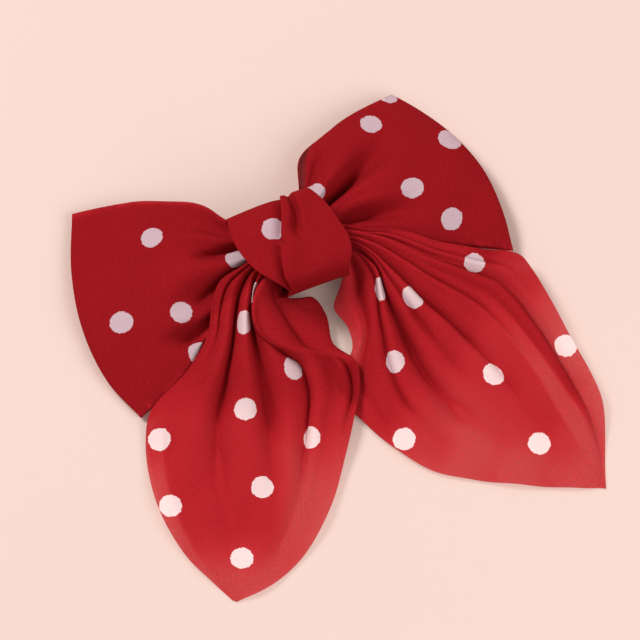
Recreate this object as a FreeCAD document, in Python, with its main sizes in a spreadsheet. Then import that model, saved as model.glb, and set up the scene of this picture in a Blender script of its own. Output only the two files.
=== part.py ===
import FreeCAD, Part
import math
import os

import Sketcher

# A chiffon hair bow on an automatic spring barrette.
# +X runs from the left loop to the right loop, +Y towards the top of the bow, so the tails lie
# towards -Y, and +Z is up off the table. The origin is the middle of the underside.
# "Clip frame" below means the point on the table under the middle of the clip.

DIMENSIONS = [
    # place of the clip frame
    ("knot_x", -3.4, "clip middle from the origin, along X"),
    ("knot_y", 41.0, "clip middle from the origin, along Y"),
    # barrette plate and its arc
    ("arc_radius", 140.0, "radius of the plate's outer face"),
    ("plate_crest", 13.0, "height of the plate's outer face at the middle"),
    ("plate_thick", 0.6, "plate sheet thickness"),
    ("plate_width", 9.6, "plate width"),
    ("plate_half", 40.0, "half the plate's length"),
    ("sew_x", 38.2, "sewing holes from the middle"),
    ("sew_y", 2.5, "sewing holes from the centre line"),
    ("sew_radius", 0.75, "sewing hole radius"),
    # hinge
    ("hinge_x", 34.0, "hinge pin from the middle"),
    ("pin_height", 3.5, "height of the hinge pin's axis"),
    ("pin_radius", 0.6, "hinge pin radius"),
    ("pin_half", 5.3, "half the pin's length over its heads"),
    ("pin_head_radius", 1.0, "pin head radius"),
    ("pin_head_thick", 0.45, "pin head thickness"),
    ("ear_thick", 0.6, "ear thickness"),
    ("ear_half", 1.6, "half the ear's length along the clip"),
    ("ear_hole_radius", 0.62, "pin hole radius in the ears"),
    ("bore_radius", 0.66, "running bore radius of the arm and the bar"),
    # lever arm
    ("arm_crest", 8.0, "height of the arm's upper face at the middle"),
    ("arm_thick", 0.7, "arm sheet thickness"),
    ("arm_width", 5.5, "arm width"),
    ("arm_end", 38.5, "arm's free end from the middle"),
    ("head_start", 29.5, "start of the wide head"),
    ("head_width", 9.0, "head width"),
    ("knuckle_width", 7.8, "width of the arm over its knuckles"),
    ("knuckle_radius", 1.25, "outer radius of the knuckles and the bar's eye"),
    ("knuckle_end", 29.0, "where the knuckle end narrows to the arm"),
    ("slot_width", 3.4, "slot between the knuckles"),
    ("slot_start", 36.0, "outer end of the slot from the middle"),
    ("slot_end", 28.7, "inner end of the slot from the middle"),
    ("window_half_length", 2.7, "half the catch window's length"),
    ("window_width", 5.0, "catch window width"),
    # tension bar
    ("bar_crest", 10.2, "height of the bar's upper face at its top"),
    ("bar_crest_x", 3.0, "bar's top from the middle, towards the hinge"),
    ("bar_radius", 82.6, "radius of the bar's upper face"),
    ("bar_thick", 0.35, "bar leaf thickness"),
    ("bar_width", 5.0, "bar leaf width"),
    ("bar_neck", 2.8, "width of the bar's neck and eye"),
    ("bar_end", 19.0, "bar's free end from the middle"),
    ("neck_start", 33.6, "outer end of the bar's neck, inside its eye, from the middle"),
    ("neck_end", 29.6, "where the bar's neck widens, from the middle"),
    # catch
    ("catch_x", 34.0, "catch legs from the middle"),
    ("catch_half", 2.0, "half the legs' length along the clip"),
    ("base_start", 26.5, "start of the catch base"),
    ("base_end", 36.4, "end of the catch base"),
    ("base_width", 6.0, "catch base width"),
    ("base_thick", 0.4, "catch sheet thickness"),
    ("tab_height", 6.85, "height of the lower end of the base's tabs"),
    ("leg_top", 6.75, "height of the legs' bend line"),
    ("leg_foot", 0.3, "height of the legs' tips"),
    ("leg_inner", 1.5, "legs' inner faces from the centre line"),
    ("barb_reach", 3.1, "barbs' points from the centre line"),
    ("barb_top", 2.25, "height of the barbs' catching faces"),
    ("barb_edge", 0.35, "thickness of a barb's point"),
    ("rivet_x", 29.2, "catch rivet from the middle"),
    ("rivet_radius", 0.9, "rivet shank radius"),
    ("rivet_hole_radius", 0.94, "rivet hole radius"),
    ("rivet_head_radius", 1.7, "rivet head radius"),
    ("rivet_head_thick", 0.4, "rivet head thickness"),
    ("rivet_gap", 0.02, "gap between the rivet's lower head and the curved base"),
    # gathered waist and its thread
    ("waist_half", 20.0, "half the gathered waist's length"),
    ("waist_reach", 14.0, "half the gathered waist's breadth"),
    ("waist_low", 13.9, "underside of the gathered waist"),
    ("waist_high", 21.4, "top of the loops' waist"),
    ("thread", 0.5, "thread thickness"),
    ("thread_pitch", 0.8, "spacing of the gathering turns"),
    ("slack", 0.2, "gap between the thread and what it goes round"),
    # loops, in the clip frame
    ("loop_start", 19.4, "where a loop leaves the knot"),
    ("loop_shoulder", 22.0, "upper shoulder of the loops beside the knot"),
    ("left_top_x", -74.0, "left loop's upper corner"),
    ("left_top_y", 54.0, "left loop's upper corner"),
    ("left_mid_x", -36.5, "left loop's upper edge"),
    ("left_mid_y", 40.0, "left loop's upper edge"),
    ("left_low_x", -81.0, "left loop's lower corner"),
    ("left_low_y", -38.0, "left loop's lower corner"),
    ("left_bulge", 124.0, "radius of the left loop's outer fold"),
    ("right_top_x", 64.5, "right loop's upper corner"),
    ("right_top_y", 53.0, "right loop's upper corner"),
    ("right_mid_x", 30.0, "right loop's upper edge"),
    ("right_mid_y", 42.0, "right loop's upper edge"),
    ("right_low_x", 87.0, "right loop's lower corner"),
    ("right_low_y", -28.5, "right loop's lower corner"),
    ("right_bulge", 91.0, "radius of the right loop's outer fold"),
    ("loop_under_x", 42.0, "where the loops come down off the clip's end"),
    ("loop_under_z", 8.4, "height of the loops' underside there"),
    ("loop_land_x", 60.0, "where the loops reach the table"),
    ("loop_full_x", 46.0, "where the loops start to thin outwards"),
    ("loop_rim_x", 92.0, "far end of the thinning line"),
    ("loop_rim_z", 3.5, "height of the thinning line's far end"),
    ("loop_crown_radius", 70.0, "radius of the thinning line"),
    ("loop_edge_y", 40.0, "where the loops are thin at the lower edge"),
    ("loop_edge_z", 7.5, "loops' height at the lower edge"),
    ("loop_head_y", 56.0, "where the loops are thin at the upper edge"),
    ("loop_head_z", 7.0, "loops' height at the upper edge"),
    # tails, in the clip frame
    ("tail_waist_low", 22.2, "underside of the tails' waist"),
    ("tail_waist_high", 27.6, "top of the tails' waist"),
    ("tail_waist_reach", 13.5, "half the tails' waist breadth"),
    ("tail_top_y", 4.0, "upper edge of a tail beside the knot"),
    ("tail_under_y", -19.0, "lower edge of a tail beside the knot"),
    ("left_shoulder_x", -82.0, "left tail's shoulder"),
    ("left_shoulder_y", -47.0, "left tail's shoulder"),
    ("left_tip_x", -74.0, "left tail's point"),
    ("left_tip_y", -125.0, "left tail's point"),
    ("left_side", 100.0, "radius of the left tail's long edges"),
    ("left_inner_x", 8.0, "left tail's inner corner"),
    ("left_inner_y", -51.0, "left tail's inner corner"),
    ("left_under_x", -5.5, "left tail's inner edge under the knot"),
    ("left_flap_x", 3.5, "left tail's folded flap"),
    ("left_flap_y", -31.0, "left tail's folded flap"),
    ("right_shoulder_x", 87.0, "right tail's shoulder"),
    ("right_shoulder_y", -34.5, "right tail's shoulder"),
    ("right_corner_x", 91.5, "right tail's outer corner"),
    ("right_corner_y", -117.5, "right tail's outer corner"),
    ("right_side", 220.0, "radius of the right tail's outer edge"),
    ("right_tip_x", 83.0, "right tail's point"),
    ("right_tip_y", -136.0, "right tail's point"),
    ("right_hem", 150.0, "radius of the right tail's lower edge"),
    ("right_inner_x", 5.5, "right tail's inner corner"),
    ("right_inner_y", -79.0, "right tail's inner corner"),
    ("right_flap_x", 9.0, "right tail's inner edge by the knot"),
    ("right_flap_y", -24.5, "right tail's inner edge by the knot"),
    ("tail_slope_y", -38.0, "where the tails cross the loops' lower edges"),
    ("tail_slope_low", 9.4, "tails' underside there"),
    ("tail_slope_high", 12.6, "tails' top there"),
    ("tail_land_y", -60.0, "where the tails' underside reaches the table"),
    ("tail_flat_y", -64.0, "where the tails' top is down on the table"),
    ("tail_thick", 1.6, "tails' thickness on the table"),
    # knot band
    ("knot_half", 19.0, "half the knot's length"),
    ("knot_reach", 18.5, "half the knot's breadth"),
    ("knot_top", 33.0, "height of the knot"),
    ("knot_wall", 3.3, "thickness of the knot's folded sides"),
    ("knot_front", 3.5, "thickness of the knot's front"),
    ("knot_back", 1.0, "thickness of the knot's flat back layer"),
    ("knot_gap", 0.3, "gap between the back layer and the plate"),
    ("knot_round", 5.0, "rounding of the knot's front edges"),
    ("seam_y", 9.0, "closing seam from the centre line"),
    ("seam_half", 12.0, "half the closing seam's length"),
    ("seam_stitch", 4.0, "length of one seam stitch"),
]

SEAM_STITCHES = 5
GATHER_TURNS = 3
REACH = 400.0  # longer than the object, for cuts that go right through
WIDE = 150.0  # outside every outline, for the far side of a cut
LAP = 1.0  # how far a cut or a fused shape runs past the face that it meets
ROUND_SPARE = 0.001  # keeps a half circle's centre from falling off its chord
SMALL = 1e-3  # lengths in mm and volumes in cubic mm below this count as nothing

D = {}  # the sheet's values by name, filled by main


class Size:
    """A number together with the spreadsheet expression that it comes from."""

    def __init__(self, value, text):
        self.value = value
        self.text = text

    def __add__(self, other):
        other = as_size(other)
        return Size(self.value + other.value, f"({self.text} + {other.text})")

    def __sub__(self, other):
        other = as_size(other)
        return Size(self.value - other.value, f"({self.text} - {other.text})")

    def __mul__(self, factor):
        return Size(self.value * factor, f"({self.text} * {factor})")

    def __neg__(self):
        return self * -1


def as_size(number):
    return number if isinstance(number, Size) else Size(float(number), f"{float(number)}")


def on_circle(radius, along):
    """Height above a circle's centre of its point at the distance along from the centre line."""
    value = math.sqrt(radius.value**2 - along.value**2)
    return Size(value, f"sqrt({radius.text}^2 - {along.text}^2)")


def make_sheet(doc):
    sheet = doc.addObject("Spreadsheet::Sheet", "dims")
    for row, (name, value, note) in enumerate(DIMENSIONS, start=1):
        sheet.set(f"A{row}", note)
        sheet.set(f"B{row}", str(value))
        sheet.setAlias(f"B{row}", name)
    doc.recompute()
    return {name: Size(value, f"dims.{name}") for name, value, note in DIMENSIONS}


def bind(thing, field, size):
    thing.setExpression(field, as_size(size).text)


def new_body(doc, label, x=0.0, y=0.0, z=0.0, turn=0.0):
    """A body whose origin is at x, y, z in the clip frame, turned about Y by turn degrees."""
    body = doc.addObject("PartDesign::Body", label)
    body.Label = label
    spin = FreeCAD.Rotation(FreeCAD.Vector(0, 1, 0), turn)
    body.Placement = FreeCAD.Placement(FreeCAD.Vector(), spin)
    bind(body, "Placement.Base.x", D["knot_x"] + x)
    bind(body, "Placement.Base.y", D["knot_y"] + y)
    bind(body, "Placement.Base.z", z)
    return body


def origin_part(body, role):
    return next(part for part in body.Origin.OriginFeatures if part.Role == role)


def new_sketch(body, name, plane, turn=0.0):
    sketch = body.newObject("Sketcher::SketchObject", name)
    sketch.AttachmentSupport = [(origin_part(body, plane), "")]
    sketch.MapMode = "FlatFace"
    spin = FreeCAD.Rotation(FreeCAD.Vector(0, 1, 0), turn)
    sketch.AttachmentOffset = FreeCAD.Placement(FreeCAD.Vector(), spin)
    return sketch


def arc_between(start, end, radius, side):
    """An arc from start to end whose centre is on the left (side 1) or right (side -1)."""
    chord = end - start
    left = FreeCAD.Vector(-chord.y, chord.x, 0).normalize() * side
    rise = math.sqrt(radius**2 - (chord.Length / 2) ** 2)
    centre = (start + end) * 0.5 + left * rise
    return Part.Arc(start, centre - left * radius, end)


def fix_point(sketch, geometry, end, x, y):
    """Hold a point of the sketch at x, y from the sketch's origin."""
    if x.value == 0:
        sketch.addConstraint(Sketcher.Constraint("PointOnObject", geometry, end, -2))
    else:
        made = sketch.addConstraint(Sketcher.Constraint("DistanceX", -1, 1, geometry, end, x.value))
        bind(sketch, f"Constraints[{made}]", x)
    if y.value == 0:
        sketch.addConstraint(Sketcher.Constraint("PointOnObject", geometry, end, -1))
    else:
        made = sketch.addConstraint(Sketcher.Constraint("DistanceY", -1, 1, geometry, end, y.value))
        bind(sketch, f"Constraints[{made}]", y)


def draw_outline(sketch, corners):
    """Draw a closed outline. A corner is (x, y), or (x, y, radius, side) where an arc leaves it."""
    corners = [(as_size(corner[0]), as_size(corner[1]), *corner[2:]) for corner in corners]
    points = [FreeCAD.Vector(corner[0].value, corner[1].value, 0) for corner in corners]
    runs = []
    for place, corner in enumerate(corners):
        start = points[place]
        end = points[(place + 1) % len(points)]
        if len(corner) == 4:
            shape = arc_between(start, end, corner[2].value, corner[3])
        else:
            shape = Part.LineSegment(start, end)
        geometry = sketch.addGeometry(shape, False)
        forward = (sketch.getPoint(geometry, 1) - start).Length < SMALL
        runs.append((geometry, 1 if forward else 2, 2 if forward else 1))
    for place, (geometry, first, last) in enumerate(runs):
        after, after_first, after_last = runs[(place + 1) % len(runs)]
        sketch.addConstraint(Sketcher.Constraint("Coincident", geometry, last, after, after_first))
        fix_point(sketch, geometry, first, corners[place][0], corners[place][1])
        if len(corners[place]) == 4:
            radius = corners[place][2]
            made = sketch.addConstraint(Sketcher.Constraint("Radius", geometry, radius.value))
            bind(sketch, f"Constraints[{made}]", radius)


def draw_circle(sketch, x, y, radius):
    x = as_size(x)
    y = as_size(y)
    centre = FreeCAD.Vector(x.value, y.value, 0)
    circle = Part.Circle(centre, FreeCAD.Vector(0, 0, 1), radius.value)
    geometry = sketch.addGeometry(circle, False)
    fix_point(sketch, geometry, 3, x, y)
    made = sketch.addConstraint(Sketcher.Constraint("Radius", geometry, radius.value))
    bind(sketch, f"Constraints[{made}]", radius)


def outline_on(body, name, plane, corners):
    sketch = new_sketch(body, name, plane)
    draw_outline(sketch, corners)
    return sketch


def circle_on(body, name, plane, x, y, radius, turn=0.0):
    sketch = new_sketch(body, name, plane, turn)
    draw_circle(sketch, x, y, radius)
    return sketch


def extrude(body, kind, sketch, length, both_ways=True):
    feature = body.newObject(f"PartDesign::{kind}", f"{sketch.Name}_{kind.lower()}")
    feature.Profile = sketch
    feature.SideType = "Symmetric" if both_ways else "One side"
    bind(feature, "Length", length)
    return feature


def pad(body, sketch, length, both_ways=True):
    return extrude(body, "Pad", sketch, length, both_ways)


def cut(body, sketch, length=REACH):
    """Cut the sketch's region out of the body, and confirm that something went."""
    body.Document.recompute()
    before = body.Shape.Volume
    feature = extrude(body, "Pocket", sketch, length)
    body.Document.recompute()
    if body.Shape.Volume > before - SMALL:
        raise RuntimeError(f"{sketch.Name} cuts nothing")
    return feature


def revolve(body, sketch, axis):
    feature = body.newObject("PartDesign::Revolution", f"{sketch.Name}_turned")
    feature.Profile = sketch
    feature.ReferenceAxis = (origin_part(body, axis), [""])
    feature.Angle = 360.0
    return feature


def arc_strip(outer, inner, start, end):
    """Corners of a strip between two circles about the sketch's origin, from x start to x end."""
    return [
        (end, on_circle(outer, end), outer, 1),
        (start, on_circle(outer, start)),
        (start, on_circle(inner, start), inner, -1),
        (end, on_circle(inner, end)),
    ]


def box_corners(low_x, high_x, low_y, high_y):
    return [(low_x, low_y), (high_x, low_y), (high_x, high_y), (low_x, high_y)]


def slope_at(along):
    """Tilt in degrees of the plate at the distance along from its middle."""
    return math.degrees(math.asin(along.value / D["arc_radius"].value))


def arc_centre():
    """Height of the centre of the plate's arc."""
    return D["plate_crest"] - D["arc_radius"]


def make_top_plate(doc):
    body = new_body(doc, "top_plate", z=arc_centre())
    outer = D["arc_radius"]
    inner = outer - D["plate_thick"]
    axis_z = D["pin_height"] - arc_centre()
    left = -(D["hinge_x"] + D["ear_half"])
    right = -(D["hinge_x"] - D["ear_half"])
    bend = outer - D["plate_thick"] * 0.5
    ear = [
        (right, on_circle(bend, right)),
        (left, on_circle(bend, left)),
        (left, axis_z, D["ear_half"] + ROUND_SPARE, 1),
        (right, axis_z),
    ]
    pad(body, outline_on(body, "ear_outline", "XZ_Plane", ear), D["plate_width"])
    between = D["plate_width"] - D["ear_thick"] * 2
    cut(body, outline_on(body, "ear_gap", "XZ_Plane", ear), between)
    strip = arc_strip(outer, inner, -D["plate_half"], D["plate_half"])
    pad(body, outline_on(body, "plate_strip", "XZ_Plane", strip), D["plate_width"])
    hinge = circle_on(body, "ear_hole", "XZ_Plane", -D["hinge_x"], axis_z, D["ear_hole_radius"])
    cut(body, hinge)
    for end, turn in (("hinge", -slope_at(D["sew_x"])), ("catch", slope_at(D["sew_x"]))):
        for side, name in ((1, "rear"), (-1, "front")):
            spot = D["sew_y"] * side
            holes = f"{end}_{name}_sewing_hole"
            cut(body, circle_on(body, holes, "XY_Plane", 0, spot, D["sew_radius"], turn))
    turn = slope_at(D["rivet_x"])
    cut(body, circle_on(body, "plate_rivet_hole", "XY_Plane", 0, 0, D["rivet_hole_radius"], turn))
    return body


def make_hinge_pin(doc):
    body = new_body(doc, "hinge_pin", x=-D["hinge_x"], z=D["pin_height"])
    end = D["pin_half"]
    neck = end - D["pin_head_thick"]
    half = [
        (-end, 0),
        (-end, D["pin_head_radius"]),
        (-neck, D["pin_head_radius"]),
        (-neck, D["pin_radius"]),
        (neck, D["pin_radius"]),
        (neck, D["pin_head_radius"]),
        (end, D["pin_head_radius"]),
        (end, 0),
    ]
    revolve(body, outline_on(body, "pin_half_outline", "YZ_Plane", half), "Y_Axis")
    return body


def make_lever_arm(doc):
    centre = D["arm_crest"] - D["arc_radius"]
    body = new_body(doc, "lever_arm", z=centre)
    outer = D["arc_radius"]
    inner = outer - D["arm_thick"]
    axis_z = D["pin_height"] - centre
    whole = arc_strip(outer, inner, -D["hinge_x"], D["arm_end"])
    head = arc_strip(outer, inner, D["head_start"], D["arm_end"])
    root = arc_strip(outer, inner, -D["hinge_x"], -D["knuckle_end"])
    pad(body, outline_on(body, "arm_strip", "XZ_Plane", whole), D["arm_width"])
    pad(body, outline_on(body, "arm_head", "XZ_Plane", head), D["head_width"])
    pad(body, outline_on(body, "arm_root", "XZ_Plane", root), D["knuckle_width"])
    knuckle = circle_on(body, "knuckle", "XZ_Plane", -D["hinge_x"], axis_z, D["knuckle_radius"])
    pad(body, knuckle, D["knuckle_width"])
    bore = circle_on(body, "arm_bore", "XZ_Plane", -D["hinge_x"], axis_z, D["bore_radius"])
    cut(body, bore)
    half_slot = D["slot_width"] * 0.5
    gap = box_corners(-D["slot_start"], -D["slot_end"], -half_slot, half_slot)
    cut(body, outline_on(body, "knuckle_slot", "XY_Plane", gap))
    low = D["catch_x"] - D["window_half_length"]
    high = D["catch_x"] + D["window_half_length"]
    half_window = D["window_width"] * 0.5
    hole = box_corners(low, high, -half_window, half_window)
    cut(body, outline_on(body, "catch_window", "XY_Plane", hole))
    return body


def make_tension_bar(doc):
    centre = D["bar_crest"] - D["bar_radius"]
    body = new_body(doc, "tension_bar", x=-D["bar_crest_x"], z=centre)
    outer = D["bar_radius"]
    inner = outer - D["bar_thick"]
    pin_x = D["bar_crest_x"] - D["hinge_x"]
    axis_z = D["pin_height"] - centre
    neck_x = D["bar_crest_x"] - D["neck_end"]
    leaf = arc_strip(outer, inner, neck_x, D["bar_end"] + D["bar_crest_x"])
    neck = arc_strip(outer, inner, D["bar_crest_x"] - D["neck_start"], neck_x + LAP)
    pad(body, outline_on(body, "bar_leaf", "XZ_Plane", leaf), D["bar_width"])
    pad(body, outline_on(body, "bar_neck_strip", "XZ_Plane", neck), D["bar_neck"])
    eye = circle_on(body, "bar_eye", "XZ_Plane", pin_x, axis_z, D["knuckle_radius"])
    pad(body, eye, D["bar_neck"])
    cut(body, circle_on(body, "bar_bore", "XZ_Plane", pin_x, axis_z, D["bore_radius"]))
    return body


def make_catch_base(doc):
    body = new_body(doc, "catch_base", z=arc_centre())
    outer = D["arc_radius"] - D["plate_thick"]
    inner = outer - D["base_thick"]
    low = D["catch_x"] - D["catch_half"]
    high = D["catch_x"] + D["catch_half"]
    foot = D["tab_height"] - arc_centre()
    tab = [
        (high, on_circle(outer, high), outer, 1),
        (low, on_circle(outer, low)),
        (low, foot),
        (high, foot),
    ]
    width = (D["leg_inner"] + D["base_thick"]) * 2
    pad(body, outline_on(body, "tab_outline", "XZ_Plane", tab), width)
    cut(body, outline_on(body, "tab_gap", "XZ_Plane", tab), D["leg_inner"] * 2)
    strip = arc_strip(outer, inner, D["base_start"], D["base_end"])
    pad(body, outline_on(body, "base_strip", "XZ_Plane", strip), D["base_width"])
    turn = slope_at(D["rivet_x"])
    cut(body, circle_on(body, "base_rivet_hole", "XY_Plane", 0, 0, D["rivet_hole_radius"], turn))
    return body


def make_catch_leg(doc, label, side):
    """One springy leg. Its barb holds the rim of the arm's window."""
    body = new_body(doc, label, x=D["catch_x"])
    inner = D["leg_inner"] * side
    outer = (D["leg_inner"] + D["base_thick"]) * side
    point = D["barb_reach"] * side
    leg = [
        (inner, D["leg_top"]),
        (inner, D["leg_foot"]),
        (outer, D["leg_foot"]),
        (point, D["barb_top"] - D["barb_edge"]),
        (point, D["barb_top"]),
        (outer, D["barb_top"]),
        (outer, D["leg_top"]),
    ]
    pad(body, outline_on(body, f"{label}_outline", "YZ_Plane", leg), D["catch_half"] * 2)
    return body


def make_catch_rivet(doc):
    body = new_body(doc, "catch_rivet", z=arc_centre(), turn=slope_at(D["rivet_x"]))
    top = D["arc_radius"]
    under = top - D["plate_thick"] - D["base_thick"] - D["rivet_gap"]
    half = [
        (0, under - D["rivet_head_thick"]),
        (D["rivet_head_radius"], under - D["rivet_head_thick"]),
        (D["rivet_head_radius"], under),
        (D["rivet_radius"], under),
        (D["rivet_radius"], top),
        (D["rivet_head_radius"], top),
        (D["rivet_head_radius"], top + D["rivet_head_thick"]),
        (0, top + D["rivet_head_thick"]),
    ]
    revolve(body, outline_on(body, "rivet_half_outline", "XZ_Plane", half), "Z_Axis")
    return body


def make_loop_band(doc):
    body = new_body(doc, "loop_band")
    reach = D["waist_reach"]
    start = D["loop_start"]
    waist = box_corners(-D["waist_half"], D["waist_half"], -reach, reach)
    left = [
        (-start, -reach),
        (-start, D["loop_shoulder"]),
        (D["left_mid_x"], D["left_mid_y"]),
        (D["left_top_x"], D["left_top_y"], D["left_bulge"], 1),
        (D["left_low_x"], D["left_low_y"]),
    ]
    right = [
        (start, -reach),
        (D["right_low_x"], D["right_low_y"], D["right_bulge"], 1),
        (D["right_top_x"], D["right_top_y"]),
        (D["right_mid_x"], D["right_mid_y"]),
        (start, D["loop_shoulder"]),
    ]
    for name, outline in (("loop_waist", waist), ("left_loop", left), ("right_loop", right)):
        pad(body, outline_on(body, name, "XY_Plane", outline), D["waist_high"], both_ways=False)
    under = [
        (-D["loop_land_x"], 0),
        (-D["loop_land_x"], -LAP),
        (D["loop_land_x"], -LAP),
        (D["loop_land_x"], 0),
        (D["loop_under_x"], D["loop_under_z"]),
        (D["loop_start"], D["waist_low"]),
        (-D["loop_start"], D["waist_low"]),
        (-D["loop_under_x"], D["loop_under_z"]),
    ]
    cut(body, outline_on(body, "clip_room", "XZ_Plane", under))
    for name, side in (("right_fall", 1), ("left_fall", -1)):
        fall = [
            (D["loop_full_x"] * side, D["waist_high"], D["loop_crown_radius"], -side),
            (D["loop_rim_x"] * side, D["loop_rim_z"]),
            (D["loop_rim_x"] * side, D["waist_high"] + LAP),
            (D["loop_full_x"] * side, D["waist_high"] + LAP),
        ]
        cut(body, outline_on(body, name, "XZ_Plane", fall))
    edges = (
        ("lower_slope", -reach, -D["loop_edge_y"], D["loop_edge_z"], -WIDE),
        ("upper_slope", D["loop_shoulder"], D["loop_head_y"], D["loop_head_z"], WIDE),
    )
    for name, near, far, height, away in edges:
        slope = [
            (near, D["waist_high"]),
            (far, height),
            (away, height),
            (away, D["waist_high"] + LAP),
            (near, D["waist_high"] + LAP),
        ]
        cut(body, outline_on(body, name, "YZ_Plane", slope))
    return body


def make_tail_strip(doc):
    body = new_body(doc, "tail_strip")
    reach = D["tail_waist_reach"]
    waist = box_corners(-D["waist_half"], D["waist_half"], -reach, reach)
    start = D["loop_start"]
    left = [
        (-start, D["tail_top_y"]),
        (D["left_shoulder_x"], D["left_shoulder_y"], D["left_side"], 1),
        (D["left_tip_x"], D["left_tip_y"], D["left_side"], 1),
        (D["left_inner_x"], D["left_inner_y"]),
        (D["left_flap_x"], D["left_flap_y"]),
        (D["left_under_x"], D["tail_under_y"]),
        (-start, D["tail_under_y"]),
    ]
    right = [
        (start, D["tail_under_y"]),
        (D["right_flap_x"], D["right_flap_y"]),
        (D["right_inner_x"], D["right_inner_y"], D["right_hem"], 1),
        (D["right_tip_x"], D["right_tip_y"]),
        (D["right_corner_x"], D["right_corner_y"], D["right_side"], 1),
        (D["right_shoulder_x"], D["right_shoulder_y"]),
        (start, D["tail_top_y"]),
    ]
    for name, outline in (("tail_waist", waist), ("left_tail", left), ("right_tail", right)):
        high = D["tail_waist_high"]
        pad(body, outline_on(body, name, "XY_Plane", outline), high, both_ways=False)
    under = [
        (WIDE, D["tail_waist_low"]),
        (-reach, D["tail_waist_low"]),
        (D["tail_slope_y"], D["tail_slope_low"]),
        (D["tail_land_y"], 0),
        (D["tail_land_y"], -LAP),
        (WIDE, -LAP),
    ]
    cut(body, outline_on(body, "tail_underside", "YZ_Plane", under))
    above = [
        (-reach, D["tail_waist_high"]),
        (D["tail_slope_y"], D["tail_slope_high"]),
        (D["tail_flat_y"], D["tail_thick"]),
        (-WIDE, D["tail_thick"]),
        (-WIDE, D["tail_waist_high"] + LAP),
        (-reach, D["tail_waist_high"] + LAP),
    ]
    cut(body, outline_on(body, "tail_topside", "YZ_Plane", above))
    return body


def make_knot_band(doc):
    """A band round the gathered waist and the plate, open along X."""
    body = new_body(doc, "knot_band", z=arc_centre())
    half = D["knot_half"]
    room = D["arc_radius"] - D["plate_thick"] - D["knot_gap"]
    back = room - D["knot_back"]
    top = D["knot_top"] - arc_centre()
    ceiling = top - D["knot_front"]
    outer = [
        (half, top),
        (-half, top),
        (-half, on_circle(back, half), back, -1),
        (half, on_circle(back, half)),
    ]
    pad(body, outline_on(body, "knot_outline", "XZ_Plane", outer), D["knot_reach"] * 2)
    far = half + LAP
    inner = [
        (far, ceiling),
        (-far, ceiling),
        (-far, on_circle(room, far), room, -1),
        (far, on_circle(room, far)),
    ]
    width = (D["knot_reach"] - D["knot_wall"]) * 2
    hollow = cut(body, outline_on(body, "knot_hollow", "XZ_Plane", inner), width)
    rounded = body.newObject("PartDesign::Fillet", "knot_rounding")
    edges = []
    for number, edge in enumerate(body.Shape.Edges, start=1):
        box = edge.BoundBox
        at_top = abs(box.ZMin - D["knot_top"].value) < SMALL
        if at_top and box.YLength < SMALL:
            edges.append(f"Edge{number}")
    rounded.Base = (hollow, edges)
    bind(rounded, "Radius", D["knot_round"])
    return body


def thread_ring(body, name, half, low, high):
    """A closed turn of thread round the rectangle half, low, high, in the body's YZ plane."""
    sketch = new_sketch(body, name, "YZ_Plane")
    cord = D["thread"]
    draw_outline(sketch, box_corners(-(half + cord), half + cord, low - cord, high + cord))
    draw_outline(sketch, box_corners(-half, half, low, high))
    return pad(body, sketch, cord)


def make_gather_thread(doc):
    """Turns of thread drawn tight round the waist, under the knot band."""
    span = D["thread_pitch"] * (GATHER_TURNS - 1)
    body = new_body(doc, "gather_thread", x=-(span * 0.5))
    half = D["waist_reach"] + D["slack"]
    low = D["waist_low"] - D["slack"]
    high = D["tail_waist_high"] + D["slack"]
    turn = thread_ring(body, "gather_turn", half, low, high)
    row = body.newObject("PartDesign::LinearPattern", "gather_turns")
    row.Originals = [turn]
    row.Direction = (origin_part(body, "X_Axis"), [""])
    bind(row, "Length", span)
    row.Occurrences = GATHER_TURNS
    body.Tip = row
    return body


def make_knot_stitches(doc):
    """A row of stitches that closes the band's back seam, behind the tension bar's path."""
    body = new_body(doc, "knot_stitches", y=D["seam_y"], z=arc_centre())
    back = D["arc_radius"] - D["plate_thick"] - D["knot_gap"] - D["knot_back"]
    cord = D["thread"] * 0.5
    line = back - cord
    first = circle_on(
        body, "seam_stitch_end", "XZ_Plane", -D["seam_half"], on_circle(line, D["seam_half"]), cord
    )
    stitch = pad(body, first, D["seam_stitch"])
    row = body.newObject("PartDesign::PolarPattern", "seam_row")
    row.Originals = [stitch]
    row.Axis = (origin_part(body, "Y_Axis"), [""])
    row.Angle = 2 * math.degrees(math.asin(D["seam_half"].value / line.value))
    row.Occurrences = SEAM_STITCHES
    body.Tip = row
    return body


def make_end_stitches(doc, label, side):
    """One loop of thread through the two sewing holes at an end of the plate."""
    body = new_body(doc, label, z=arc_centre(), turn=side * slope_at(D["sew_x"]))
    half = D["sew_y"] - D["thread"] * 0.5
    low = D["arc_radius"] - D["plate_thick"] - D["slack"]
    high = D["arc_radius"] + D["thread"]
    thread_ring(body, f"{label}_turn", half, low, high)
    return body


def check(doc, bodies):
    for thing in doc.Objects:
        if "Invalid" in thing.State or "Error" in thing.State:
            raise RuntimeError(f"{thing.Name} failed: {thing.State}")
    for body in bodies:
        if body.Shape.isNull() or not body.Shape.isValid():
            raise RuntimeError(f"{body.Label} has no valid shape")


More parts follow.
